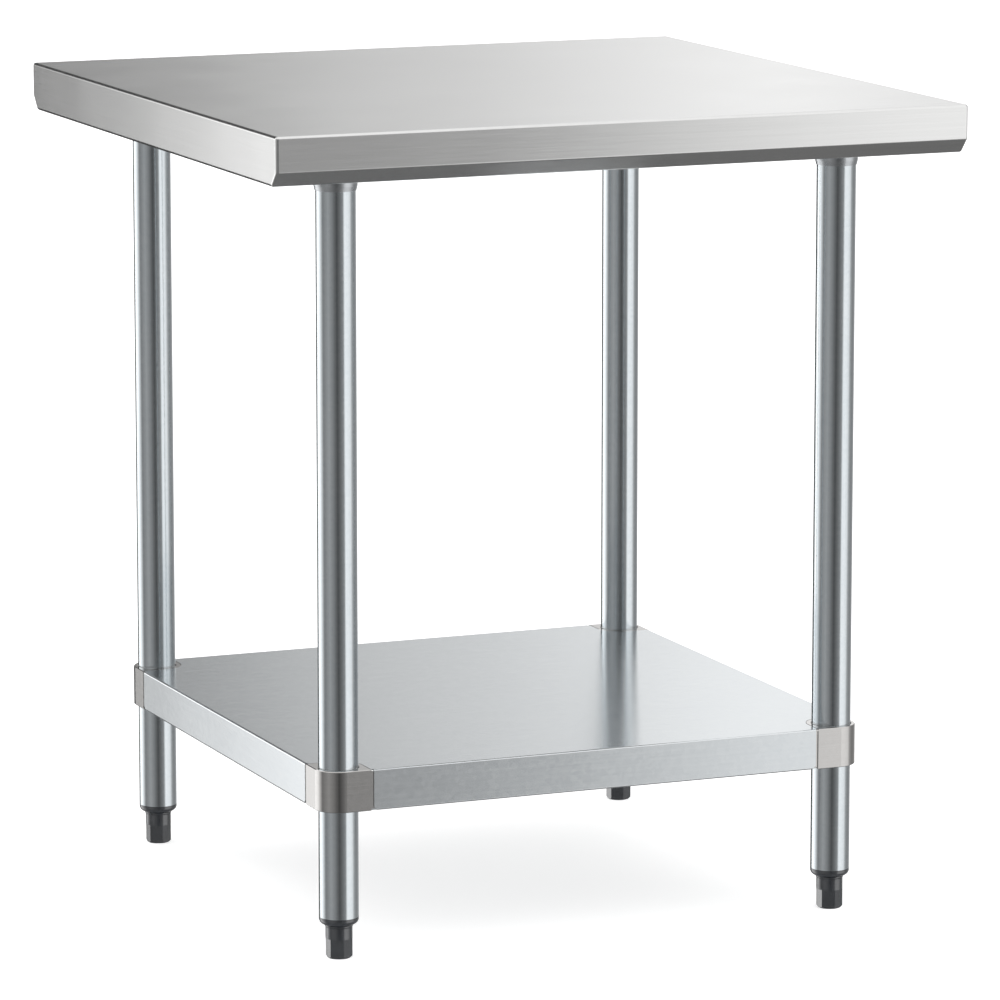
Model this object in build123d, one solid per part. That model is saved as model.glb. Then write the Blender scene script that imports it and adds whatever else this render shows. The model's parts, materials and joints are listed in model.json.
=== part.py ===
from build123d import *
import math
import os

# A free-standing kitchen work table: a folded stainless top on hat channels, four tube legs,
# a galvanised undershelf clamped to the legs, and a screw-adjustable foot under each leg.
# Millimetres. +Z is up, the front edge faces -Y, and the origin lies on the floor below the
# centre of the top.

# Overall size
TOP_WIDTH = 762.0
TOP_DEPTH = 762.0
TABLE_HEIGHT = 863.6
LEG_SPACING = 558.8

# Top: one folded sheet. The front and rear edges have a bevel below the upright face, and
# the left and right edges are flat plates cut to the same outline.
TOP_SHEET = 1.2
EDGE_FACE = 36.0
BEVEL_DROP = 15.0
BEVEL_RUN = 13.5
EDGE_LIP = 12.0
LIP_UPTURN = 7.0
TOP_BEND = 3.2
SIDE_BEND = 3.0

# Hat channels
CHANNEL_SHEET = 1.5
CHANNEL_DEPTH = 25.0
CHANNEL_CROWN = 90.0
CHANNEL_FLANGE = 20.0
CHANNEL_BEND = 1.5
SIDE_CHANNEL_LENGTH = 720.0
CROSS_CHANNEL_LENGTH = 424.0
SHELF_CHANNEL_DEPTH = 20.0
SHELF_CHANNEL_CROWN = 60.0
SHELF_CHANNEL_LENGTH = 560.0

# Weld studs and nuts that hold the channels under the top
STUD_RADIUS = 3.0
STUD_LENGTH = 14.0
STUD_CHAMFER = 0.6
STUD_HOLE_RADIUS = 3.3
NUT_ACROSS_FLATS = 10.0
NUT_HEIGHT = 5.0
NUT_BEVEL = 0.6
NUT_TURNED_RADIUS = 5.9
SIDE_STUD_SPACING = 300.0
CROSS_STUD_SPACING = 240.0

# Legs
LEG_RADIUS = 20.65
LEG_WALL = 1.5
LEG_BOTTOM = 43.5
LEG_END_GAP = 0.4

# Sockets that take the tops of the legs
SOCKET_BOTTOM = 795.0
SOCKET_TAPER = 5.0
SOCKET_RADIUS = 22.4
SOCKET_CLEARANCE = 0.2
SOCKET_MOUTH_EDGE = 0.4
SOCKET_FLARE_START = 815.0
SOCKET_FLARE_RADIUS = 35.0
SOCKET_INNER_FLARE_START = 817.5
SOCKET_INNER_FLARE_RADIUS = 32.0
SOCKET_WALL = 2.0
SOCKET_PLATE = 84.0
SOCKET_PLATE_ROUND = 8.0
SOCKET_PLATE_HOLE_RADIUS = 16.4
SOCKET_BOSS_RADIUS = 7.0
SOCKET_BOSS_REACH = 28.5
SOCKET_SCREW_HEIGHT = 807.5

# Set screws
SCREW_RADIUS = 4.0
SCREW_LENGTH = 10.0
SCREW_CHAMFER = 0.7
SCREW_CLEARANCE = 0.05
SCREW_SOCKET_ACROSS_FLATS = 4.0
SCREW_SOCKET_DEPTH = 5.0

# Undershelf: a folded tray with a notch round each leg
SHELF_SIZE = 609.6
SHELF_TOP = 200.0
SHELF_FLANGE = 43.0
SHELF_SHEET = 1.2
SHELF_LIP = 12.0
SHELF_BEND = 2.0
NOTCH_RADIUS = 27.0
FLANGE_START = 29.5
RELIEF_DEPTH = 3.0
FLANGE_CHAMFER = 4.0

# Clamp corners that join the undershelf to the legs
CLAMP_REACH = 26.7
CLAMP_BORE_CLEARANCE = 0.35
CLAMP_EDGE = 0.6
TONGUE_LENGTH = 30.0
TONGUE_THICKNESS = 3.0
TONGUE_MARGIN = 2.0
TONGUE_ROOT = 1.0

# Feet
INSERT_COLLAR_HEIGHT = 8.0
INSERT_COLLAR_ROUND = 6.0
INSERT_PLUG_LENGTH = 38.0
INSERT_PLUG_CLEARANCE = 0.1
INSERT_THREAD_WALL = 3.0
INSERT_RECESS_RADIUS = 15.0
INSERT_RECESS_DEPTH = 26.0
RING_RADIUS = 14.6
RING_HEIGHT = 3.0
RING_ROUND = 1.4
FOOT_RADIUS = 14.0
FOOT_ROUND_HEIGHT = 12.0
FOOT_HEX_ACROSS_FLATS = 24.2
FOOT_CHAMFER = 2.0
FOOT_STUD_RADIUS = 6.0
FOOT_STUD_TOP = 73.0
FOOT_STUD_BOTTOM = 12.0
FOOT_STUD_CHAMFER = 1.2
FOOT_THREAD_CLEARANCE = 0.06
FOOT_BORE_CLEARANCE = 0.3

# How far a cutting shape runs past the surface that it cuts
CUT_EXTRA = 5.0

# How near to a coordinate an edge or corner has to lie to be picked by it
PICK_TOLERANCE = 0.01

# Heights and half sizes that follow from the driving dimensions
HALF_WIDTH = TOP_WIDTH / 2
HALF_DEPTH = TOP_DEPTH / 2
HALF_SPACING = LEG_SPACING / 2
HALF_SHELF = SHELF_SIZE / 2
CREASE_Z = TABLE_HEIGHT - EDGE_FACE
TOP_LOW_Z = CREASE_Z - BEVEL_DROP
TOP_UNDERSIDE = TABLE_HEIGHT - TOP_SHEET
CHANNEL_LOW_Z = TOP_UNDERSIDE - CHANNEL_DEPTH
PLATE_LOW_Z = CHANNEL_LOW_Z - SOCKET_WALL
SHELF_LOW_Z = SHELF_TOP - SHELF_FLANGE
SHELF_UNDERSIDE = SHELF_TOP - SHELF_SHEET
SHELF_MARGIN = HALF_SHELF - HALF_SPACING
INSERT_LOW_Z = LEG_BOTTOM - INSERT_COLLAR_HEIGHT
FOOT_TOP_Z = INSERT_LOW_Z - RING_HEIGHT
FOOT_HEX_TOP_Z = FOOT_TOP_Z - FOOT_ROUND_HEIGHT
SOCKET_BORE = LEG_RADIUS + SOCKET_CLEARANCE
CLAMP_BORE = LEG_RADIUS + CLAMP_BORE_CLEARANCE

# Each corner's name and the directions from the centre of the table to that corner
CORNERS = {
    "front_left": (-1, -1),
    "front_right": (1, -1),
    "rear_left": (-1, 1),
    "rear_right": (1, 1),
}


def block(x_low, x_high, y_low, y_high, z_low, z_high):
    """Upright box given by its lowest and highest coordinates."""
    size = Box(x_high - x_low, y_high - y_low, z_high - z_low)
    centre = ((x_low + x_high) / 2, (y_low + y_high) / 2, (z_low + z_high) / 2)
    return Pos(*centre) * size


def ring(outer_radius, inner_radius, z_low, z_high):
    """Round ring about the Z axis."""
    height = z_high - z_low
    middle = Pos(0, 0, (z_low + z_high) / 2)
    return middle * (Cylinder(outer_radius, height) - Cylinder(inner_radius, height))


def turned(points):
    """Solid turned about the Z axis from an outline of (radius, z) points."""
    outline = Plane.XZ * Polygon(*points, align=None)
    return revolve(outline, Axis.Z)


def at_corner(shape, corner):
    """Copy of a shape, made for a leg at the origin, moved to one corner of the table."""
    side_x, side_y = CORNERS[corner]
    return Pos(side_x * HALF_SPACING, side_y * HALF_SPACING, 0) * shape


def facing_corner(shape, corner):
    """Shape made for the rear right corner, turned to face the named corner."""
    side_x, side_y = CORNERS[corner]
    turn = math.degrees(math.atan2(side_y, side_x)) - 45
    return at_corner(Rot(0, 0, turn) * shape, corner)


def both_sides(shape):
    """A shape together with its mirror image across the diagonal of the rear right corner."""
    return shape + mirror(shape, Plane(origin=(0, 0, 0), z_dir=(1, -1, 0)))


def edges_at(shape, axis, value):
    """Edges of a shape whose centre lies at one coordinate along an axis."""
    return shape.edges().filter_by_position(axis, value - PICK_TOLERANCE, value + PICK_TOLERANCE)


def top_envelope(outline, half_width, side_bend):
    """Edge outline extruded across the table, with the edges of its two end faces rounded."""
    body = extrude(Plane.YZ * outline, half_width, both=True)
    return fillet(body.faces().filter_by(Axis.X).edges(), side_bend)


def make_work_top():
    """Folded top sheet with its bevelled front and rear edges and inward lips."""
    outline = Polygon(
        (-HALF_DEPTH, CREASE_Z),
        (-HALF_DEPTH, TABLE_HEIGHT),
        (HALF_DEPTH, TABLE_HEIGHT),
        (HALF_DEPTH, CREASE_Z),
        (HALF_DEPTH - BEVEL_RUN, TOP_LOW_Z),
        (-HALF_DEPTH + BEVEL_RUN, TOP_LOW_Z),
        align=None,
    )
    outline = fillet(outline.vertices(), TOP_BEND)
    shell = top_envelope(outline, HALF_WIDTH, SIDE_BEND)
    hollow_outline = offset(outline, -TOP_SHEET, kind=Kind.INTERSECTION)
    hollow = top_envelope(hollow_outline, HALF_WIDTH - TOP_SHEET, SIDE_BEND - TOP_SHEET)
    open_x = HALF_WIDTH - EDGE_LIP
    open_y = HALF_DEPTH - BEVEL_RUN - EDGE_LIP
    lip_top = TOP_LOW_Z + LIP_UPTURN
    mouth = block(
        -open_x, open_x, -open_y, open_y, TOP_LOW_Z - CUT_EXTRA, lip_top + CUT_EXTRA
    )
    upturn = block(
        -open_x - TOP_SHEET, open_x + TOP_SHEET, -open_y - TOP_SHEET, open_y + TOP_SHEET,
        TOP_LOW_Z, lip_top,
    )
    return shell - hollow - mouth + (upturn - mouth)


def hat_section(crown, depth):
    """Half-open hat section with its flanges up at z = 0 and its crown at z = -depth."""
    half = crown / 2
    reach = half + CHANNEL_FLANGE
    sheet = CHANNEL_SHEET
    section = Pos(0, -depth / 2) * Rectangle(crown, depth)
    section -= Pos(0, (sheet - depth) / 2 + sheet / 2) * Rectangle(crown - 2 * sheet, depth - sheet)
    for side in (-1, 1):
        middle = side * (half - sheet + reach) / 2
        section += Pos(middle, -sheet / 2) * Rectangle(CHANNEL_FLANGE + sheet, sheet)
    crown_corners = section.vertices().group_by(Axis.Y)[0]
    return fillet(crown_corners, CHANNEL_BEND)


def make_channel(crown, depth, length):
    """Hat channel along Y whose flanges lie just below z = 0."""
    return extrude(Plane.XZ * hat_section(crown, depth), length / 2, both=True)


def side_stud_points(side):
    """Stud positions on the flanges of one of the two channels above the legs."""
    reach = (CHANNEL_CROWN + CHANNEL_FLANGE) / 2
    rows = (-SIDE_STUD_SPACING, 0.0, SIDE_STUD_SPACING)
    return [(side * HALF_SPACING + across, row) for across in (-reach, reach) for row in rows]


def cross_stud_points():
    """Stud positions on the flanges of the channel between the other two."""
    reach = (CHANNEL_CROWN + CHANNEL_FLANGE) / 2
    half = CROSS_STUD_SPACING / 2
    return [(along, across) for along in (-half, half) for across in (-reach, reach)]


def drilled(channel, points):
    """Channel with a clearance hole at each stud position."""
    hole = Cylinder(STUD_HOLE_RADIUS, 4 * CHANNEL_SHEET)
    for x, y in points:
        channel -= Pos(x, y, TOP_UNDERSIDE - CHANNEL_SHEET / 2) * hole
    return channel


def make_side_channel(side):
    """Channel that runs front to rear above two of the legs."""
    channel = make_channel(CHANNEL_CROWN, CHANNEL_DEPTH, SIDE_CHANNEL_LENGTH)
    placed = Pos(side * HALF_SPACING, 0, TOP_UNDERSIDE) * channel
    return drilled(placed, side_stud_points(side))


def make_cross_channel():
    """Channel that runs left to right under the middle of the top."""
    channel = make_channel(CHANNEL_CROWN, CHANNEL_DEPTH, CROSS_CHANNEL_LENGTH)
    placed = Pos(0, 0, TOP_UNDERSIDE) * Rot(0, 0, 90) * channel
    return drilled(placed, cross_stud_points())


def make_studs():
    """Weld studs under the top sheet, with their ends chamfered."""
    stud = Pos(0, 0, TOP_UNDERSIDE - STUD_LENGTH / 2) * Cylinder(STUD_RADIUS, STUD_LENGTH)
    stud = chamfer(edges_at(stud, Axis.Z, TOP_UNDERSIDE - STUD_LENGTH), STUD_CHAMFER)
    points = side_stud_points(-1) + side_stud_points(1) + cross_stud_points()
    return Compound([Pos(x, y, 0) * stud for x, y in points])


def hexagon(across_flats):
    """Flat hexagon with a corner on the Y axis."""
    return Rot(0, 0, 30) * RegularPolygon(across_flats / math.sqrt(3), 6)


def make_nuts():
    """Hexagon nuts on the weld studs, with their lower corners bevelled."""
    nut = extrude(hexagon(NUT_ACROSS_FLATS), NUT_HEIGHT)
    bevel = turned([
        (0, 0),
        (NUT_ACROSS_FLATS / 2, 0),
        (NUT_TURNED_RADIUS, NUT_BEVEL),
        (NUT_TURNED_RADIUS, NUT_HEIGHT),
        (0, NUT_HEIGHT),
    ])
    nut = (nut & bevel) - Pos(0, 0, NUT_HEIGHT / 2) * Cylinder(STUD_RADIUS, NUT_HEIGHT)
    low_z = TOP_UNDERSIDE - CHANNEL_SHEET - NUT_HEIGHT
    points = side_stud_points(-1) + side_stud_points(1) + cross_stud_points()
    return Compound([Pos(x, y, low_z) * nut for x, y in points])


def inward_rod(radius, near, far, height):
    """Rod that lies at a leg, level, between two distances towards the table's centre."""
    rod = Pos(0, 0, (near + far) / 2) * Cylinder(radius, far - near)
    return Pos(0, 0, height) * Rot(0, 0, 225) * Rot(0, 90, 0) * rod


def make_set_screw(tip, height):
    """Headless set screw towards a leg at the origin, for the rear right corner."""
    screw = Pos(0, 0, tip + SCREW_LENGTH / 2) * Cylinder(SCREW_RADIUS, SCREW_LENGTH)
    screw = chamfer(screw.edges().filter_by(GeomType.CIRCLE), SCREW_CHAMFER)
    socket = extrude(hexagon(SCREW_SOCKET_ACROSS_FLATS), SCREW_SOCKET_DEPTH)
    screw -= Pos(0, 0, tip + SCREW_LENGTH - SCREW_SOCKET_DEPTH) * socket
    return Pos(0, 0, height) * Rot(0, 0, 225) * Rot(0, 90, 0) * screw


def make_socket():
    """Socket that takes the top of a leg: collar, flare, plate and screw boss."""
    plate = extrude(RectangleRounded(SOCKET_PLATE, SOCKET_PLATE, SOCKET_PLATE_ROUND), SOCKET_WALL)
    plate -= Cylinder(SOCKET_PLATE_HOLE_RADIUS, 4 * SOCKET_WALL)
    cup = turned([
        (SOCKET_BORE, SOCKET_BOTTOM),
        (SOCKET_BORE + SOCKET_MOUTH_EDGE, SOCKET_BOTTOM),
        (SOCKET_RADIUS, SOCKET_BOTTOM + SOCKET_TAPER),
        (SOCKET_RADIUS, SOCKET_FLARE_START),
        (SOCKET_FLARE_RADIUS, PLATE_LOW_Z),
        (SOCKET_INNER_FLARE_RADIUS, PLATE_LOW_Z),
        (SOCKET_BORE, SOCKET_INNER_FLARE_START),
    ])
    boss = inward_rod(SOCKET_BOSS_RADIUS, LEG_RADIUS, SOCKET_BOSS_REACH, SOCKET_SCREW_HEIGHT)
    bore = Pos(0, 0, SOCKET_SCREW_HEIGHT) * Cylinder(SOCKET_BORE, 4 * SOCKET_BOSS_RADIUS)
    hole = inward_rod(
        SCREW_RADIUS + SCREW_CLEARANCE, 0, SOCKET_BOSS_REACH + CUT_EXTRA, SOCKET_SCREW_HEIGHT
    )
    return Pos(0, 0, PLATE_LOW_Z) * plate + cup + (boss - bore) - hole


def make_leg():
    """Leg tube."""
    return ring(LEG_RADIUS, LEG_RADIUS - LEG_WALL, LEG_BOTTOM, PLATE_LOW_Z - LEG_END_GAP)


def corner_notch():
    """Space cut out of the undershelf round the leg of the rear right corner."""
    reach = SHELF_MARGIN + CUT_EXTRA
    relief_low = SHELF_MARGIN - RELIEF_DEPTH
    low = SHELF_LOW_Z - CUT_EXTRA
    high = SHELF_TOP + CUT_EXTRA
    mouth = block(-NOTCH_RADIUS, reach, 0, reach, low, high)
    relief = block(-FLANGE_START, 0, relief_low, reach, low, high)
    bevel = Polygon(
        (-FLANGE_START, SHELF_LOW_Z - CUT_EXTRA),
        (-FLANGE_START - FLANGE_CHAMFER - CUT_EXTRA, SHELF_LOW_Z - CUT_EXTRA),
        (-FLANGE_START, SHELF_LOW_Z + FLANGE_CHAMFER),
        align=None,
    )
    wedge = extrude(Plane.XZ * bevel, reach, both=True)
    wedge &= block(-2 * FLANGE_START, 0, relief_low, reach, low, high)
    middle = Pos(0, 0, (low + high) / 2)
    return middle * Cylinder(NOTCH_RADIUS, high - low) + both_sides(mouth + relief + wedge)


def make_undershelf():
    """Folded tray with its flanges down, inward lips and a notch round each leg."""
    shell = block(-HALF_SHELF, HALF_SHELF, -HALF_SHELF, HALF_SHELF, SHELF_LOW_Z, SHELF_TOP)
    shell = fillet(shell.faces().filter_by(Axis.Z).edges(), SHELF_BEND)
    inside = HALF_SHELF - SHELF_SHEET
    hollow = block(-inside, inside, -inside, inside, SHELF_LOW_Z + SHELF_SHEET, SHELF_UNDERSIDE)
    hollow = fillet(hollow.faces().filter_by(Axis.Z).edges(), SHELF_BEND - SHELF_SHEET)
    opening = HALF_SHELF - SHELF_LIP
    mouth = block(
        -opening, opening, -opening, opening, SHELF_LOW_Z - CUT_EXTRA, SHELF_UNDERSIDE - CUT_EXTRA
    )
    tray = shell - hollow - mouth
    for corner in CORNERS:
        tray -= facing_corner(corner_notch(), corner)
    return tray


def make_shelf_channel():
    """Stiffening channel welded under the middle of the undershelf."""
    channel = make_channel(SHELF_CHANNEL_CROWN, SHELF_CHANNEL_DEPTH, SHELF_CHANNEL_LENGTH)
    return Pos(0, 0, SHELF_UNDERSIDE) * Rot(0, 0, 90) * channel


def make_shelf_corner():
    """Clamp round the leg of the rear right corner, with a tongue behind each flange."""
    inner_quarter = Circle(CLAMP_REACH) & Pos(-CLAMP_REACH, -CLAMP_REACH) * Rectangle(
        2 * CLAMP_REACH, 2 * CLAMP_REACH
    )
    shoulder = Pos(-CLAMP_REACH / 2, SHELF_MARGIN / 2) * Rectangle(CLAMP_REACH, SHELF_MARGIN)
    outline = Circle(SHELF_MARGIN) + inner_quarter + both_sides(shoulder) - Circle(CLAMP_BORE)
    clamp = extrude(outline, SHELF_FLANGE)
    ends = clamp.faces().filter_by(Axis.Z).edges()
    clamp = Pos(0, 0, SHELF_LOW_Z) * chamfer(ends, CLAMP_EDGE)
    outer = SHELF_MARGIN - SHELF_SHEET
    tongue = block(
        -CLAMP_REACH - TONGUE_LENGTH, -CLAMP_REACH + TONGUE_ROOT, outer - TONGUE_THICKNESS, outer,
        SHELF_LOW_Z + TONGUE_MARGIN, SHELF_TOP - TONGUE_MARGIN,
    )
    middle = (SHELF_LOW_Z + SHELF_TOP) / 2
    hole = inward_rod(SCREW_RADIUS + SCREW_CLEARANCE, 0, 2 * CLAMP_REACH, middle)
    return clamp + both_sides(tongue) - hole


def make_foot_insert():
    """Plug in the bottom of a leg, with a collar below the tube and a threaded bore."""
    bore = FOOT_STUD_RADIUS + FOOT_THREAD_CLEARANCE
    plug = LEG_RADIUS - LEG_WALL - INSERT_PLUG_CLEARANCE
    plug_top = LEG_BOTTOM + INSERT_PLUG_LENGTH
    body = ring(LEG_RADIUS, bore, INSERT_LOW_Z, LEG_BOTTOM)
    outer_edge = edges_at(body, Axis.Z, INSERT_LOW_Z).sort_by(SortBy.LENGTH)[-1]
    body = fillet(outer_edge, INSERT_COLLAR_ROUND)
    body += ring(plug, bore, LEG_BOTTOM, plug_top)
    thread_tube = bore + INSERT_THREAD_WALL
    recess = ring(INSERT_RECESS_RADIUS, thread_tube, plug_top - INSERT_RECESS_DEPTH, plug_top)
    return body - recess


def make_foot_ring():
    """Rounded bead that sits on the shoulder of a foot."""
    body = ring(RING_RADIUS, FOOT_STUD_RADIUS + FOOT_BORE_CLEARANCE, FOOT_TOP_Z, INSERT_LOW_Z)
    outer = body.edges().filter_by(GeomType.CIRCLE).group_by(SortBy.RADIUS)[-1]
    return fillet(outer, RING_ROUND)


def make_foot():
    """Moulded foot: round above, hexagonal below, with a bevelled bottom edge."""
    round_part = ring(FOOT_RADIUS, FOOT_STUD_RADIUS, FOOT_HEX_TOP_Z, FOOT_TOP_Z)
    hexagonal = extrude(hexagon(FOOT_HEX_ACROSS_FLATS), FOOT_HEX_TOP_Z)
    hexagonal &= turned([
        (0, 0),
        (FOOT_RADIUS - FOOT_CHAMFER, 0),
        (FOOT_RADIUS, FOOT_CHAMFER),
        (FOOT_RADIUS, FOOT_HEX_TOP_Z),
        (0, FOOT_HEX_TOP_Z),
    ])
    pocket = Pos(0, 0, (FOOT_STUD_BOTTOM + FOOT_TOP_Z) / 2)
    pocket *= Cylinder(FOOT_STUD_RADIUS, FOOT_TOP_Z - FOOT_STUD_BOTTOM)
    return round_part + hexagonal - pocket


def make_foot_stud():
    """Threaded stud of a foot, modelled at its crest diameter."""
    length = FOOT_STUD_TOP - FOOT_STUD_BOTTOM
    stud = Pos(0, 0, FOOT_STUD_BOTTOM + length / 2) * Cylinder(FOOT_STUD_RADIUS, length)
    return chamfer(edges_at(stud, Axis.Z, FOOT_STUD_TOP), FOOT_STUD_CHAMFER)


def make_parts():
    """Every sub-part of the table, by node name."""
    parts = {
        "work_top": make_work_top(),
        "top_channel_left": make_side_channel(-1),
        "top_channel_right": make_side_channel(1),
        "top_channel_cross": make_cross_channel(),
        "channel_studs": make_studs(),
        "channel_nuts": make_nuts(),
        "undershelf": make_undershelf(),
        "shelf_channel": make_shelf_channel(),
    }
    socket_screw = make_set_screw(LEG_RADIUS, SOCKET_SCREW_HEIGHT)
    shelf_screw = make_set_screw(CLAMP_BORE, (SHELF_LOW_Z + SHELF_TOP) / 2)
    parts["socket_set_screws"] = Compound([facing_corner(socket_screw, name) for name in CORNERS])
    parts["shelf_set_screws"] = Compound([facing_corner(shelf_screw, name) for name in CORNERS])
    for name in CORNERS:
        parts["leg_socket_" + name] = facing_corner(make_socket(), name)
        parts["leg_" + name] = at_corner(make_leg(), name)
        parts["shelf_corner_" + name] = facing_corner(make_shelf_corner(), name)
        parts["foot_insert_" + name] = at_corner(make_foot_insert(), name)
        parts["foot_ring_" + name] = at_corner(make_foot_ring(), name)
        parts["foot_" + name] = at_corner(make_foot(), name)
        parts["foot_stud_" + name] = at_corner(make_foot_stud(), name)
    return parts


os.makedirs("parts", exist_ok=True)
for node, shape in make_parts().items():
    export_step(shape, os.path.join("parts", node + ".step"))
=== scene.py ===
import json
import math

import bmesh
import bpy
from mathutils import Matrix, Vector


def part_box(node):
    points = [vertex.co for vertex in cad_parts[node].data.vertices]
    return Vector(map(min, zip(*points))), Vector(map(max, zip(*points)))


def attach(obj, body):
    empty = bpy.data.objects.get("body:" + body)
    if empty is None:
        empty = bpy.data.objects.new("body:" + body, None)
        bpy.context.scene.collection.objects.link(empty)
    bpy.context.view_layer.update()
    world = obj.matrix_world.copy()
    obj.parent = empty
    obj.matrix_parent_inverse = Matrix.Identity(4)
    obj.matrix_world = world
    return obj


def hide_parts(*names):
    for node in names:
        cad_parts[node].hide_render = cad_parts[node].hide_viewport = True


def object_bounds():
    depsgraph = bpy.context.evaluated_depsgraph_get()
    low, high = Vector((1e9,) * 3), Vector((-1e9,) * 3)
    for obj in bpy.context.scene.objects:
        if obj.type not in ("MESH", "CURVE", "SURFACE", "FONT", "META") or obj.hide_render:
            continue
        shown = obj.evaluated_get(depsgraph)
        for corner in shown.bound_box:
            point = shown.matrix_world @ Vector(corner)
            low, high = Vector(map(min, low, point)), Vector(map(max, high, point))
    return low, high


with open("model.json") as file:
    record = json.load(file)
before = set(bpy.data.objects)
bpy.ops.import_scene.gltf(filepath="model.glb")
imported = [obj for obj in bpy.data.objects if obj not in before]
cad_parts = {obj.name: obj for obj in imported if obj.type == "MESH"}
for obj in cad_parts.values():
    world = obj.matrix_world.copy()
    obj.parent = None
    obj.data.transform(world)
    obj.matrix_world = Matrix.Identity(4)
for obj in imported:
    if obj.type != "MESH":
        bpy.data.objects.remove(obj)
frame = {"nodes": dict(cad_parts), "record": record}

# A stainless work table: folded top, four galvanised tube legs, a clamped undershelf and screw
# feet. The CAD nodes keep their shapes. This script adds the studio, the finish of every
# material, and the small pieces that CAD leaves plain: screw threads, weld beads and spot welds.

CAD_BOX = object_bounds()
NODES = frame["nodes"]
CORNERS = ("front_left", "front_right", "rear_left", "rear_right")

# ---- Camera: azimuth 0 looks along +Y, and positive azimuths stand to the right of the table ----
CAMERA_AZIMUTH = -22.57
CAMERA_ELEVATION = 10.12
CAMERA_DISTANCE = 6.546
CAMERA_LENS = 218.8
CAMERA_SENSOR = 36.0
AIM_OFFSET = Vector((0.0137, -0.0057, -0.0193))

# ---- Studio ----
FLOOR_RADIUS = 40.0
FLOOR_COLOUR = (0.93, 0.93, 0.93, 1.0)
FLOOR_GLOW = 0.75
BACKDROP_RADIUS = 38.0
BACKDROP_HEIGHT = 40.0

# Brightness of the studio walls by turn about the table. 0 is the side of the camera, 0.25 its
# right, 0.5 behind the table and 0.75 its left. The two softboxes lie at 0.13 to 0.27 and 0.62
# to 0.74, and the wall behind the table fades from bright on the right to dark on the left.
WALL_LIGHT = (
    (0.000, 0.12),
    (0.016, 0.08),
    (0.080, 0.21),
    (0.118, 0.33),
    (0.1240, 0.35),
    (0.1268, 0.37),
    (0.1292, 0.60),
    (0.1315, 0.93),
    (0.1340, 1.10),
    (0.152, 1.13),
    (0.190, 1.10),
    (0.240, 0.98),
    (0.280, 0.42),
    (0.336, 0.26),
    (0.420, 0.40),
    (0.470, 0.80),
    (0.4890, 1.00),
    (0.4925, 1.16),
    (0.4990, 0.72),
    (0.5026, 0.71),
    (0.5060, 0.45),
    (0.5107, 0.26),
    (0.530, 0.06),
    (0.605, 0.06),
    (0.6150, 0.06),
    (0.6198, 1.60),
    (0.700, 1.35),
    (0.725, 0.95),
    (0.780, 0.24),
    (0.880, 0.40),
    (0.950, 0.26),
    (0.985, 0.15),
)
CEILING_LIGHT = 1.05
CEILING_START = 0.50
CEILING_FULL = 0.80
BELOW_LIGHT = 0.17
BELOW_START = -0.45
BELOW_FULL = -0.75

# ---- Screw threads: pitch, and the depth of the groove ----
FOOT_THREAD_PITCH = 0.0025
FOOT_THREAD_DEPTH = 0.0011
STUD_THREAD_PITCH = 0.001
STUD_THREAD_DEPTH = 0.0006
THREAD_CREST_GAP = 0.00003
FOOT_THREAD_STEPS = 48
STUD_THREAD_STEPS = 20
# Height of the profile's corners along one pitch, and how far out each lies from root to crest
THREAD_PROFILE = ((0.0, 0.0), (0.12, 0.0), (0.46, 1.0), (0.66, 1.0))

THREAD_MERGE_DISTANCE = 2e-6
THREAD_CORNER_ANGLE = 30

# ---- Weld beads at the sockets' plates ----
BEAD_WIDTH = 0.0034
BEAD_HEIGHT_SHARE = 0.6
BEAD_END_SHARE = 0.02
BEAD_RIPPLE = 0.0018
BEAD_RIPPLE_DEPTH = 0.07
BEAD_RINGS_PER_RIPPLE = 4
BEAD_ARC_STEPS = 6
BEAD_LENGTH = 0.050
BEAD_INSET = 0.0012

# ---- Spot welds under the flanges of the shelf's channel ----
SPOT_RADIUS = 0.0032
SPOT_SPACING = 0.075
SPOT_FROM_FLANGE_EDGE = 0.010
SPOT_STEPS = 20
SHELF_CHANNEL_SHEET = 0.0015
# Share of the radius, and how far the dimple stands below the flange there
SPOT_PROFILE = ((0.0, 0.00012), (0.55, 0.00015), (0.8, 0.0004), (1.0, 0.00005))

# ---- Surface relief in metres ----
FINE_RELIEF = 0.00001
CASTING_RELIEF = 0.000008
SHEET_WAVES = 0.00012


# ============================================================================ node helpers


def connect(tree, socket, value):
    """Links an output to an input, or sets the input when the value is a constant."""
    if isinstance(value, bpy.types.NodeSocket):
        tree.links.new(value, socket)
    elif value is not None:
        socket.default_value = value


def maths(tree, operation, first, second=None, third=None):
    """Adds a Math node and returns its output."""
    node = tree.nodes.new("ShaderNodeMath")
    node.operation = operation
    for socket, value in zip(node.inputs, (first, second, third)):
        connect(tree, socket, value)
    return node.outputs[0]


def vector_maths(tree, operation, first, second=None):
    """Adds a Vector Math node and returns its vector output."""
    node = tree.nodes.new("ShaderNodeVectorMath")
    node.operation = operation
    for socket, value in zip(node.inputs, (first, second)):
        connect(tree, socket, value)
    return node.outputs[0]


def split(tree, vector):
    """The three coordinates of a vector."""
    node = tree.nodes.new("ShaderNodeSeparateXYZ")
    tree.links.new(vector, node.inputs[0])
    return node.outputs


def joined(tree, x, y, z):
    """Vector made of three coordinates."""
    node = tree.nodes.new("ShaderNodeCombineXYZ")
    for socket, value in zip(node.inputs, (x, y, z)):
        connect(tree, socket, value)
    return node.outputs[0]


def ramp(tree, factor, stops, interpolation="LINEAR"):
    """Colour ramp with (position, grey or colour) stops."""
    node = tree.nodes.new("ShaderNodeValToRGB")
    node.color_ramp.interpolation = interpolation
    elements = node.color_ramp.elements
    while len(elements) < len(stops):
        elements.new(0.5)
    for element, (position, colour) in zip(elements, stops):
        element.position = position
        shade = colour if isinstance(colour, tuple) else (colour, colour, colour)
        element.color = (*shade, 1.0)
    tree.links.new(factor, node.inputs[0])
    return node.outputs[0]


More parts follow.
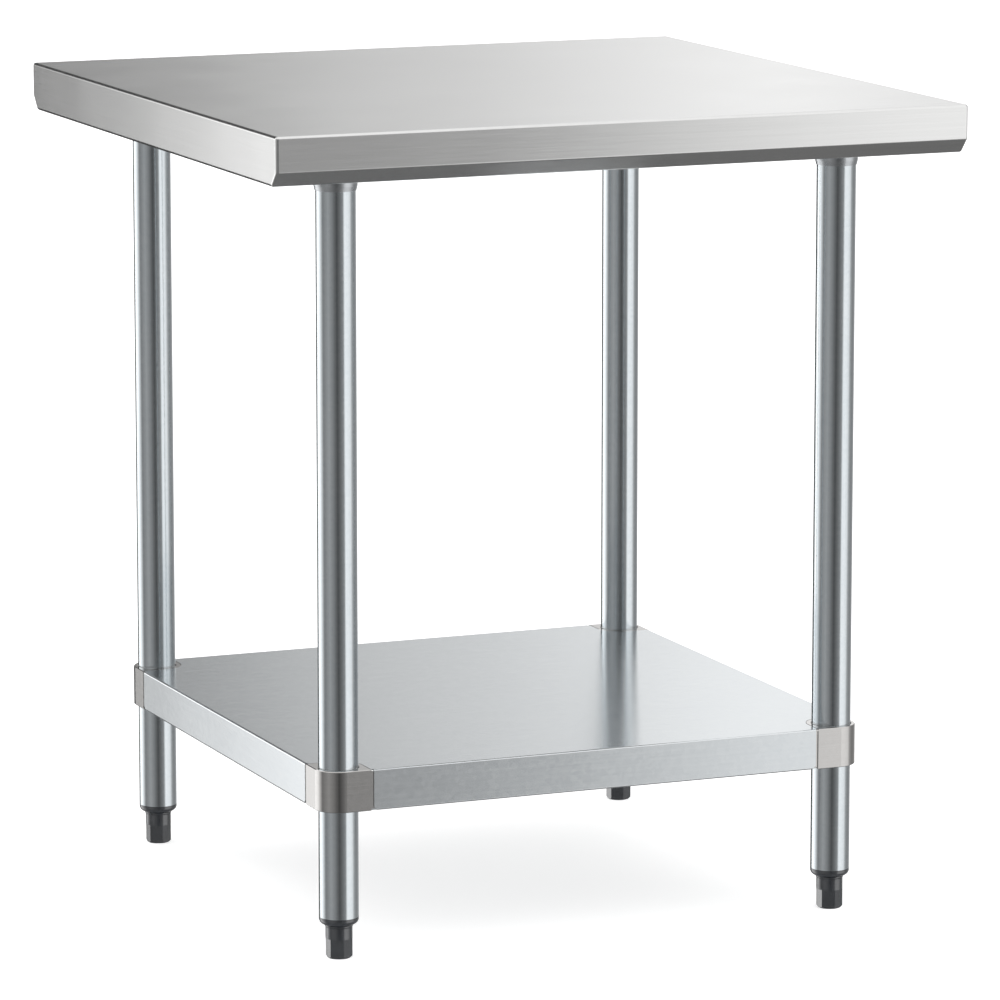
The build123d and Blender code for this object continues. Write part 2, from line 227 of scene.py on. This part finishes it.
def remap(tree, value, from_low, from_high, to_low, to_high):
    """Clamped linear map of a value from one range to another."""
    node = tree.nodes.new("ShaderNodeMapRange")
    for socket, number in zip(node.inputs, (value, from_low, from_high, to_low, to_high)):
        connect(tree, socket, number)
    return node.outputs[0]


def blend_colours(tree, factor, first, second):
    """Mix of two colours."""
    node = tree.nodes.new("ShaderNodeMix")
    node.data_type = "RGBA"
    connect(tree, node.inputs["Factor"], factor)
    connect(tree, node.inputs["A"], first)
    connect(tree, node.inputs["B"], second)
    return node.outputs["Result"]


def blend_vectors(tree, factor, first, second):
    """Mix of two vectors."""
    node = tree.nodes.new("ShaderNodeMix")
    node.data_type = "VECTOR"
    connect(tree, node.inputs["Factor"], factor)
    connect(tree, node.inputs["A"], first)
    connect(tree, node.inputs["B"], second)
    return node.outputs["Result"]


def noise(tree, vector, scale=1.0, detail=2.0, roughness=0.5):
    """Fractal noise between 0 and 1, about 0.5."""
    node = tree.nodes.new("ShaderNodeTexNoise")
    tree.links.new(vector, node.inputs["Vector"])
    node.inputs["Scale"].default_value = scale
    node.inputs["Detail"].default_value = detail
    node.inputs["Roughness"].default_value = roughness
    return node.outputs["Fac"]


def crystals(tree, vector, scale):
    """Random grey for each crystal of a zinc coat."""
    node = tree.nodes.new("ShaderNodeTexVoronoi")
    tree.links.new(vector, node.inputs["Vector"])
    node.inputs["Scale"].default_value = scale
    shades = tree.nodes.new("ShaderNodeSeparateColor")
    tree.links.new(node.outputs["Color"], shades.inputs[0])
    return shades.outputs[0]


def bump(tree, height, distance, strength=1.0, base=None):
    """Surface relief of a given height in metres."""
    node = tree.nodes.new("ShaderNodeBump")
    node.inputs["Distance"].default_value = distance
    node.inputs["Strength"].default_value = strength
    tree.links.new(height, node.inputs["Height"])
    connect(tree, node.inputs["Normal"], base)
    return node.outputs[0]


def place(tree):
    """Position on the object, in metres."""
    return tree.nodes.new("ShaderNodeTexCoord").outputs["Object"]


def facing(tree):
    """Surface normal of the object."""
    return tree.nodes.new("ShaderNodeTexCoord").outputs["Normal"]


# ======================================================================== camera and studio


def make_camera():
    """Camera that looks at the table from its front left."""
    low, high = CAD_BOX
    aim = (low + high) / 2 + AIM_OFFSET
    azimuth = math.radians(CAMERA_AZIMUTH)
    elevation = math.radians(CAMERA_ELEVATION)
    away = Vector((
        math.sin(azimuth) * math.cos(elevation),
        -math.cos(azimuth) * math.cos(elevation),
        math.sin(elevation),
    ))
    data = bpy.data.cameras.new("camera")
    data.lens = CAMERA_LENS
    data.sensor_width = CAMERA_SENSOR
    data.clip_end = 3 * FLOOR_RADIUS
    camera = bpy.data.objects.new("camera", data)
    camera.location = aim + away * CAMERA_DISTANCE
    camera.rotation_euler = (math.radians(90 - CAMERA_ELEVATION), 0.0, azimuth)
    bpy.context.scene.collection.objects.link(camera)
    bpy.context.scene.camera = camera


def make_floor():
    """Plain pale floor. Metal mirrors the studio walls and not the floor."""
    mesh = bpy.data.meshes.new("floor")
    shape = bmesh.new()
    bmesh.ops.create_circle(shape, cap_ends=True, radius=FLOOR_RADIUS, segments=64)
    shape.to_mesh(mesh)
    shape.free()
    floor = bpy.data.objects.new("floor", mesh)
    bpy.context.scene.collection.objects.link(floor)
    material = bpy.data.materials.new("floor")
    material.use_nodes = True
    shader = material.node_tree.nodes["Principled BSDF"]
    shader.inputs["Base Color"].default_value = FLOOR_COLOUR
    shader.inputs["Roughness"].default_value = 0.9
    shader.inputs["Specular IOR Level"].default_value = 0.1
    shader.inputs["Emission Color"].default_value = FLOOR_COLOUR
    shader.inputs["Emission Strength"].default_value = FLOOR_GLOW
    mesh.materials.append(material)
    floor.visible_glossy = False


def make_backdrop():
    """White wall round the floor that only the camera sees, so that it lights nothing."""
    mesh = bpy.data.meshes.new("backdrop")
    shape = bmesh.new()
    bmesh.ops.create_cone(
        shape, cap_ends=False, segments=128, radius1=BACKDROP_RADIUS, radius2=BACKDROP_RADIUS,
        depth=BACKDROP_HEIGHT,
    )
    shape.to_mesh(mesh)
    shape.free()
    backdrop = bpy.data.objects.new("backdrop", mesh)
    bpy.context.scene.collection.objects.link(backdrop)
    material = bpy.data.materials.new("backdrop")
    material.use_nodes = True
    shader = material.node_tree.nodes["Principled BSDF"]
    shader.inputs["Base Color"].default_value = (0.0, 0.0, 0.0, 1.0)
    shader.inputs["Specular IOR Level"].default_value = 0.0
    shader.inputs["Emission Color"].default_value = (1.0, 1.0, 1.0, 1.0)
    shader.inputs["Emission Strength"].default_value = 1.0
    mesh.materials.append(material)
    backdrop.visible_diffuse = False
    backdrop.visible_glossy = False
    backdrop.visible_transmission = False
    backdrop.visible_shadow = False


def make_studio():
    """World light: a bright ceiling, and walls whose brightness changes round the table."""
    world = bpy.data.worlds.new("studio")
    bpy.context.scene.world = world
    world.use_nodes = True
    tree = world.node_tree
    x, y, z = split(tree, tree.nodes.new("ShaderNodeTexCoord").outputs["Generated"])
    heading = maths(tree, "ARCTAN2", x, y)
    camera_heading = math.pi - math.radians(CAMERA_AZIMUTH)
    turn = maths(tree, "DIVIDE", maths(tree, "SUBTRACT", camera_heading, heading), 2 * math.pi)
    walls = ramp(tree, maths(tree, "FRACT", turn), WALL_LIGHT)
    up = remap(tree, z, CEILING_START, CEILING_FULL, 0.0, 1.0)
    down = remap(tree, z, BELOW_START, BELOW_FULL, 0.0, 1.0)
    light = blend_colours(tree, up, walls, (CEILING_LIGHT, CEILING_LIGHT, CEILING_LIGHT, 1.0))
    light = blend_colours(tree, down, light, (BELOW_LIGHT, BELOW_LIGHT, BELOW_LIGHT, 1.0))
    tree.links.new(light, tree.nodes["Background"].inputs["Color"])
    bpy.context.scene.view_settings.view_transform = "Standard"


# ================================================================================ finishes


def new_material(name, metallic=1.0):
    """Empty material and its Principled shader."""
    material = bpy.data.materials.new(name)
    material.use_nodes = True
    shader = material.node_tree.nodes["Principled BSDF"]
    shader.inputs["Metallic"].default_value = metallic
    return material, material.node_tree, shader


def along_length(tree):
    """1 on faces that look left or right, whose grain runs front to rear, and 0 elsewhere."""
    side = maths(tree, "ABSOLUTE", split(tree, facing(tree))[0])
    return maths(tree, "GREATER_THAN", side, 0.7)


def stretched(tree, side, along, across):
    """Position scaled so that a texture draws out along the grain of a brushed sheet."""
    point = place(tree)
    lengthways = vector_maths(tree, "MULTIPLY", point, (along, across, across))
    sideways = vector_maths(tree, "MULTIPLY", point, (across, along, across))
    return blend_vectors(tree, side, lengthways, sideways)


def grain_tangent(tree, side):
    """Direction across the grain, in which a brushed face spreads its reflections."""
    grain = joined(tree, maths(tree, "SUBTRACT", 1.0, side), side, 0.0)
    across = vector_maths(tree, "CROSS_PRODUCT", grain, facing(tree))
    turned = tree.nodes.new("ShaderNodeVectorTransform")
    turned.vector_type = "VECTOR"
    turned.convert_from = "OBJECT"
    turned.convert_to = "WORLD"
    tree.links.new(across, turned.inputs[0])
    return vector_maths(tree, "NORMALIZE", turned.outputs[0])


def edge_wear(tree, node, width):
    """1 at the outer edges of a box-shaped node, fading to 0 within a width, with some gaps."""
    low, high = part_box(node)
    middle = (Vector(low) + Vector(high)) / 2
    half = (Vector(high) - Vector(low)) / 2
    offset = vector_maths(tree, "SUBTRACT", place(tree), tuple(middle))
    depth = vector_maths(tree, "SUBTRACT", tuple(half), vector_maths(tree, "ABSOLUTE", offset))
    x, y, z = split(tree, depth)
    nearest = maths(tree, "MINIMUM", x, y)
    farther = maths(tree, "MAXIMUM", x, y)
    edge = maths(tree, "MAXIMUM", nearest, maths(tree, "MINIMUM", farther, z))
    band = remap(tree, edge, 0.0, width, 1.0, 0.0)
    patches = remap(tree, noise(tree, place(tree), 60.0, 3.0), 0.35, 0.65, 0.35, 1.0)
    return maths(tree, "MULTIPLY", band, patches)


def scratches(tree, angle, spacing, amount):
    """Fine straight scratches on level faces, at an angle to the grain; 1 inside a scratch."""
    mapping = tree.nodes.new("ShaderNodeMapping")
    tree.links.new(place(tree), mapping.inputs["Vector"])
    mapping.inputs["Rotation"].default_value = (0.0, 0.0, math.radians(angle))
    mapping.inputs["Scale"].default_value = (9.0, 1.0 / spacing, 9.0)
    lines = noise(tree, mapping.outputs[0], 1.0, 1.0, 0.4)
    return remap(tree, lines, amount, amount + 0.03, 0.0, 1.0)


def stainless():
    """Brushed stainless: fine grain, faint waves, a few scratches and bright worn edges."""
    material, tree, shader = new_material("stainless_sheet")
    side = along_length(tree)
    streaks = noise(tree, stretched(tree, side, 4.0, 420.0), 1.0, 4.0, 0.6)
    grain = noise(tree, stretched(tree, side, 30.0, 2600.0), 1.0, 2.0, 0.5)
    handling = noise(tree, place(tree), 7.0, 3.0, 0.55)
    wear = edge_wear(tree, "work_top", 0.0035)
    scratch = maths(
        tree, "MAXIMUM", scratches(tree, 17.0, 0.0012, 0.76), scratches(tree, -38.0, 0.0015, 0.77)
    )
    texture = maths(
        tree, "ADD", maths(tree, "MULTIPLY", streaks, 0.6), maths(tree, "MULTIPLY", grain, 0.4)
    )
    colour = ramp(tree, texture, ((0.25, (0.735, 0.735, 0.728)), (0.75, (0.805, 0.805, 0.800))))
    colour = blend_colours(tree, maths(tree, "MULTIPLY", wear, 0.5), colour, (0.86, 0.86, 0.855, 1.0))
    connect(tree, shader.inputs["Base Color"], colour)
    rough = remap(tree, grain, 0.2, 0.8, 0.15, 0.20)
    rough = maths(tree, "ADD", rough, remap(tree, handling, 0.3, 0.7, -0.015, 0.015))
    rough = maths(tree, "ADD", rough, maths(tree, "MULTIPLY", scratch, 0.08))
    rough = maths(tree, "SUBTRACT", rough, maths(tree, "MULTIPLY", wear, 0.05))
    connect(tree, shader.inputs["Roughness"], rough)
    shader.inputs["Anisotropic"].default_value = 0.92
    connect(tree, shader.inputs["Tangent"], grain_tangent(tree, side))
    waves = bump(tree, noise(tree, place(tree), 5.0, 1.0, 0.4), SHEET_WAVES)
    relief = bump(tree, texture, FINE_RELIEF, 0.6, waves)
    relief = bump(tree, maths(tree, "SUBTRACT", 1.0, scratch), FINE_RELIEF, 0.5, relief)
    connect(tree, shader.inputs["Normal"], relief)
    return material


def zinc_sheet(name, node, dark, light, roughness, anisotropy):
    """Galvanised sheet: crystal pattern, rolling marks, cloudy patches and rubbed edges."""
    material, tree, shader = new_material(name)
    side = along_length(tree)
    coat = crystals(tree, place(tree), 190.0)
    rolling = noise(tree, stretched(tree, side, 5.0, 380.0), 1.0, 4.0, 0.6)
    cloud = noise(tree, place(tree), 9.0, 4.0, 0.6)
    texture = maths(tree, "MULTIPLY_ADD", coat, 0.24, maths(tree, "MULTIPLY", rolling, 0.60))
    texture = maths(tree, "MULTIPLY_ADD", cloud, 0.16, texture)
    colour = ramp(tree, texture, ((0.25, dark), (0.75, light)))
    if node:
        wear = edge_wear(tree, node, 0.003)
        colour = blend_colours(tree, maths(tree, "MULTIPLY", wear, 0.5), colour, (0.86, 0.87, 0.875, 1.0))
    connect(tree, shader.inputs["Base Color"], colour)
    rough = remap(tree, texture, 0.2, 0.8, roughness - 0.018, roughness + 0.018)
    connect(tree, shader.inputs["Roughness"], rough)
    shader.inputs["Anisotropic"].default_value = anisotropy
    connect(tree, shader.inputs["Tangent"], grain_tangent(tree, side))
    waves = bump(tree, noise(tree, place(tree), 6.0, 1.0, 0.4), SHEET_WAVES)
    relief = bump(tree, texture, FINE_RELIEF, 0.5, waves)
    connect(tree, shader.inputs["Normal"], relief)
    return material


def zinc_tube():
    """Bright galvanised tube: drawn streaks, a fine crystal coat and cloudy patches."""
    material, tree, shader = new_material("galvanised_tube")
    spot = place(tree)
    drawn = noise(tree, vector_maths(tree, "MULTIPLY", spot, (700.0, 700.0, 3.0)), 1.0, 3.0, 0.6)
    coat = crystals(tree, spot, 260.0)
    cloud = noise(tree, vector_maths(tree, "MULTIPLY", spot, (14.0, 14.0, 5.0)), 1.0, 3.0, 0.6)
    texture = maths(tree, "MULTIPLY_ADD", coat, 0.2, maths(tree, "MULTIPLY", drawn, 0.4))
    texture = maths(tree, "MULTIPLY_ADD", cloud, 0.4, texture)
    colour = ramp(tree, texture, ((0.25, (0.655, 0.705, 0.735)), (0.75, (0.735, 0.775, 0.800))))
    connect(tree, shader.inputs["Base Color"], colour)
    rough = remap(tree, texture, 0.25, 0.75, 0.13, 0.19)
    connect(tree, shader.inputs["Roughness"], rough)
    relief = bump(tree, texture, FINE_RELIEF, 0.5)
    connect(tree, shader.inputs["Normal"], relief)
    return material


def polished_clamp():
    """Polished casting: fine buffing lines round the corner and a soft orange-peel surface."""
    material, tree, shader = new_material("polished_clamp")
    spot = place(tree)
    buffing = noise(tree, vector_maths(tree, "MULTIPLY", spot, (12.0, 12.0, 1500.0)), 1.0, 3.0, 0.6)
    casting = noise(tree, spot, 160.0, 3.0, 0.5)
    texture = maths(tree, "MULTIPLY_ADD", casting, 0.4, maths(tree, "MULTIPLY", buffing, 0.6))
    colour = ramp(tree, texture, ((0.25, (0.545, 0.533, 0.522)), (0.75, (0.620, 0.608, 0.596))))
    connect(tree, shader.inputs["Base Color"], colour)
    rough = remap(tree, texture, 0.25, 0.75, 0.09, 0.13)
    connect(tree, shader.inputs["Roughness"], rough)
    relief = bump(tree, casting, CASTING_RELIEF, 0.5)
    relief = bump(tree, buffing, FINE_RELIEF, 0.5, relief)
    connect(tree, shader.inputs["Normal"], relief)
    return material


def zinc_plate(name, dark, light, roughness):
    """Zinc-plated fastener or pressing: cloudy plating with a faint warm tint."""
    material, tree, shader = new_material(name)
    spot = place(tree)
    cloud = noise(tree, spot, 120.0, 3.0, 0.55)
    fine = noise(tree, spot, 1800.0, 2.0, 0.5)
    texture = maths(tree, "MULTIPLY_ADD", cloud, 0.7, maths(tree, "MULTIPLY", fine, 0.3))
    colour = ramp(tree, texture, ((0.3, dark), (0.7, light)))
    connect(tree, shader.inputs["Base Color"], colour)
    rough = remap(tree, texture, 0.3, 0.7, roughness - 0.05, roughness + 0.05)
    connect(tree, shader.inputs["Roughness"], rough)
    connect(tree, shader.inputs["Normal"], bump(tree, texture, FINE_RELIEF, 0.5))
    return material


def moulded_plastic():
    """Charcoal plastic: fine moulded grain, a soft sheen and paler scuffs near the floor."""
    material, tree, shader = new_material("charcoal_plastic", metallic=0.0)
    spot = place(tree)
    grain = noise(tree, spot, 2200.0, 3.0, 0.6)
    flow = noise(tree, spot, 70.0, 3.0, 0.5)
    colour = ramp(tree, flow, ((0.3, (0.018, 0.021, 0.026)), (0.7, (0.028, 0.032, 0.039))))
    scuff_patch = remap(tree, noise(tree, spot, 300.0, 4.0, 0.7), 0.52, 0.68, 0.0, 1.0)
    near_floor = remap(tree, split(tree, spot)[2], 0.0, 0.006, 0.6, 0.0)
    scuff = maths(tree, "MULTIPLY", scuff_patch, near_floor)
    colour = blend_colours(tree, scuff, colour, (0.13, 0.135, 0.14, 1.0))
    connect(tree, shader.inputs["Base Color"], colour)
    rough = remap(tree, grain, 0.3, 0.7, 0.16, 0.24)
    connect(tree, shader.inputs["Roughness"], maths(tree, "MULTIPLY_ADD", scuff, 0.2, rough))
    shader.inputs["Specular IOR Level"].default_value = 1.0
    shader.inputs["Coat Weight"].default_value = 0.7
    shader.inputs["Coat Roughness"].default_value = 0.12
    shader.inputs["Coat IOR"].default_value = 1.75
    connect(tree, shader.inputs["Normal"], bump(tree, grain, FINE_RELIEF, 0.5))
    return material


MATERIALS = {
    "stainless_sheet": stainless(),
    "galvanised_sheet": zinc_sheet(
        "galvanised_sheet", "undershelf", (0.695, 0.728, 0.750), (0.765, 0.795, 0.812), 0.175, 0.88
    ),
    "galvanised_channel": zinc_sheet(
        "galvanised_channel", None, (0.56, 0.59, 0.61), (0.66, 0.69, 0.71), 0.36, 0.4
    ),
    "galvanised_socket": zinc_plate(
        "galvanised_socket", (0.56, 0.58, 0.60), (0.64, 0.66, 0.68), 0.30
    ),
    "galvanised_tube": zinc_tube(),
    "polished_clamp": polished_clamp(),
    "zinc_fasteners": zinc_plate(
        "zinc_fasteners", (0.60, 0.60, 0.57), (0.70, 0.70, 0.67), 0.28
    ),
    "zinc_stud": zinc_plate("zinc_stud", (0.54, 0.55, 0.54), (0.64, 0.65, 0.63), 0.30),
    "charcoal_plastic": moulded_plastic(),
}


# ================================================================== pieces that CAD leaves plain


def add_piece(name, shape, slot, body, replaced=()):
    """Makes an object of a bmesh, finishes it and sets it on a body of the CAD model."""
    bmesh.ops.recalc_face_normals(shape, faces=shape.faces)
    mesh = bpy.data.meshes.new(name)
    shape.to_mesh(mesh)
    shape.free()
    mesh.materials.append(MATERIALS[slot])
    piece = bpy.data.objects.new(name, mesh)
    bpy.context.scene.collection.objects.link(piece)
    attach(piece, body)
    if replaced:
        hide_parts(*replaced)
    return piece


def islands(node):
    """Lowest and highest corners of each separate solid in a node."""
    shape = bmesh.new()
    shape.from_mesh(NODES[node].data)
    bmesh.ops.remove_doubles(shape, verts=shape.verts, dist=1e-6)
    boxes = []
    waiting = set(shape.verts)
    while waiting:
        found = [waiting.pop()]
        for vertex in found:
            near = {edge.other_vert(vertex) for edge in vertex.link_edges} & waiting
            waiting -= near
            found.extend(near)
        spots = [vertex.co.copy() for vertex in found]
        low = Vector([min(spot[axis] for spot in spots) for axis in range(3)])
        high = Vector([max(spot[axis] for spot in spots) for axis in range(3)])
        boxes.append((low, high))
    shape.free()
    return sorted(boxes, key=lambda box: tuple(round(value, 5) for value in box[0]))


def add_thread(shape, low, high, pitch, depth, steps):
    """Right-hand screw thread inside an upright box, its ends run out into flat faces."""
    centre = (low + high) / 2
    crest = (high.x - low.x) / 2 - THREAD_CREST_GAP
    turns = math.ceil((high.z - low.z) / pitch) + 2
    lines = []
    for turn in range(-1, turns):
        for along, out in THREAD_PROFILE:
            lines.append(((turn + along) * pitch, crest - depth * (1.0 - out)))
    rows = []
    for rise, radius in lines:
        row = []
        for step in range(steps + 1):
            height = low.z + rise + pitch * step / steps
            reach = radius
            run_out = min(height - low.z, high.z - height)
            if run_out < pitch / 2:
                reach = min(radius, crest - depth + max(run_out, 0.0))
            angle = 2 * math.pi * step / steps
            height = min(max(height, low.z), high.z)
            row.append(shape.verts.new((
                centre.x + reach * math.cos(angle), centre.y + reach * math.sin(angle), height,
            )))
        rows.append(row)
    for lower, upper in zip(rows, rows[1:]):
        for step in range(steps):
            corners = (lower[step], lower[step + 1], upper[step + 1], upper[step])
            heights = {round(corner.co.z, 7) for corner in corners}
            if len(heights) > 1:
                shape.faces.new(corners)
    for level in (low.z, high.z):
        rim = [
            shape.verts.new((
                centre.x + (crest - depth) * math.cos(2 * math.pi * step / steps),
                centre.y + (crest - depth) * math.sin(2 * math.pi * step / steps),
                level,
            ))
            for step in range(steps)
        ]
        shape.faces.new(rim)


def shade_thread(piece):
    """Smooth round the screw and crisp at the corners of the thread."""
    mesh = piece.data
    mesh.shade_smooth()
    mesh.set_sharp_from_angle(angle=math.radians(THREAD_CORNER_ANGLE))


def make_foot_threads():
    """Threaded stud of each foot."""
    for corner in CORNERS:
        node = "foot_stud_" + corner
        low, high = (Vector(end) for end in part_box(node))
        shape = bmesh.new()
        add_thread(shape, low, high, FOOT_THREAD_PITCH, FOOT_THREAD_DEPTH, FOOT_THREAD_STEPS)
        bmesh.ops.remove_doubles(shape, verts=shape.verts, dist=THREAD_MERGE_DISTANCE)
        piece = add_piece(
            "foot_thread_" + corner, shape, "zinc_stud", "foot_screw_" + corner, (node,)
        )
        shade_thread(piece)


def make_stud_threads():
    """Threads of the weld studs that hold the channels under the top."""
    shape = bmesh.new()
    for low, high in islands("channel_studs"):
        add_thread(shape, low, high, STUD_THREAD_PITCH, STUD_THREAD_DEPTH, STUD_THREAD_STEPS)
    bmesh.ops.remove_doubles(shape, verts=shape.verts, dist=THREAD_MERGE_DISTANCE)
    piece = add_piece("stud_threads", shape, "zinc_fasteners", "frame", ("channel_studs",))
    shade_thread(piece)


def add_bead(shape, start, end, outward):
    """Rippled fillet weld between two points, where a plate's edge meets the sheet above."""
    run = end - start
    rings = int(run.length / (BEAD_RIPPLE / BEAD_RINGS_PER_RIPPLE))
    previous = None
    for index in range(rings + 1):
        along = index / rings
        phase = (along * run.length / BEAD_RIPPLE) % 1.0
        ends = min(1.0, min(along, 1.0 - along) * run.length / BEAD_WIDTH)
        ripple = 1.0 - BEAD_RIPPLE_DEPTH * (1.0 - math.sin(math.pi * phase))
        size = BEAD_WIDTH * math.sqrt(max(ends, BEAD_END_SHARE)) * ripple
        spot = start + run * along
        ring = []
        for step in range(BEAD_ARC_STEPS + 1):
            angle = 0.5 * math.pi * step / BEAD_ARC_STEPS
            drop = size * BEAD_HEIGHT_SHARE * math.sin(angle)
            reach = outward * (size * math.cos(angle)) + Vector((0, 0, -drop))
            ring.append(shape.verts.new(spot + reach))
        ring.append(shape.verts.new(spot))
        if previous:
            for step in range(len(ring)):
                following = (step + 1) % len(ring)
                shape.faces.new((previous[step], previous[following], ring[following], ring[step]))
        else:
            shape.faces.new(ring)
        previous = ring
    shape.faces.new(list(reversed(previous)))


def make_socket_welds():
    """Weld beads along two sides of each socket's plate, under the channels."""
    shape = bmesh.new()
    for corner in CORNERS:
        low, high = (Vector(end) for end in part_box("leg_socket_" + corner))
        middle = (low + high) / 2
        half = BEAD_LENGTH / 2
        for outward in (Vector((0, -1, 0)), Vector((0, 1, 0))):
            edge_y = high.y if outward.y > 0 else low.y
            start = Vector((middle.x - half, edge_y - outward.y * BEAD_INSET, high.z))
            add_bead(shape, start, start + Vector((BEAD_LENGTH, 0, 0)), outward)
    piece = add_piece("socket_welds", shape, "galvanised_socket", "frame")
    piece.data.shade_smooth()


def add_spot(shape, centre):
    """Dimple of one spot weld on the underside of a flange."""
    hub = shape.verts.new(centre - Vector((0, 0, SPOT_PROFILE[0][1])))
    inner = None
    for share, drop in SPOT_PROFILE[1:]:
        rim = []
        for step in range(SPOT_STEPS):
            angle = 2 * math.pi * step / SPOT_STEPS
            reach = SPOT_RADIUS * share
            offset = Vector((reach * math.cos(angle), reach * math.sin(angle), -drop))
            rim.append(shape.verts.new(centre + offset))
        for step in range(SPOT_STEPS):
            following = (step + 1) % SPOT_STEPS
            if inner:
                shape.faces.new((inner[step], inner[following], rim[following], rim[step]))
            else:
                shape.faces.new((hub, rim[following], rim[step]))
        inner = rim
    shape.faces.new(list(reversed(inner)))


def make_shelf_spots():
    """Spot-weld dimples along both flanges of the channel under the shelf."""
    low, high = (Vector(end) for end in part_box("shelf_channel"))
    count = int((high.x - low.x) / SPOT_SPACING)
    flange_z = high.z - SHELF_CHANNEL_SHEET
    shape = bmesh.new()
    for side in (-1, 1):
        row_y = high.y - SPOT_FROM_FLANGE_EDGE if side > 0 else low.y + SPOT_FROM_FLANGE_EDGE
        for index in range(count):
            x = low.x + (high.x - low.x) * (index + 0.5) / count
            add_spot(shape, Vector((x, row_y, flange_z)))
    piece = add_piece("shelf_spot_welds", shape, "galvanised_channel", "shelf")
    piece.data.shade_smooth()


# ============================================================================ build the scene

make_camera()
make_floor()
make_backdrop()
make_studio()
for entry in frame["record"]["subparts"]:
    NODES[entry["node"]].material_slots[0].material = MATERIALS[entry["material_slot"]]

make_foot_threads()
make_stud_threads()
make_socket_welds()
make_shelf_spots()
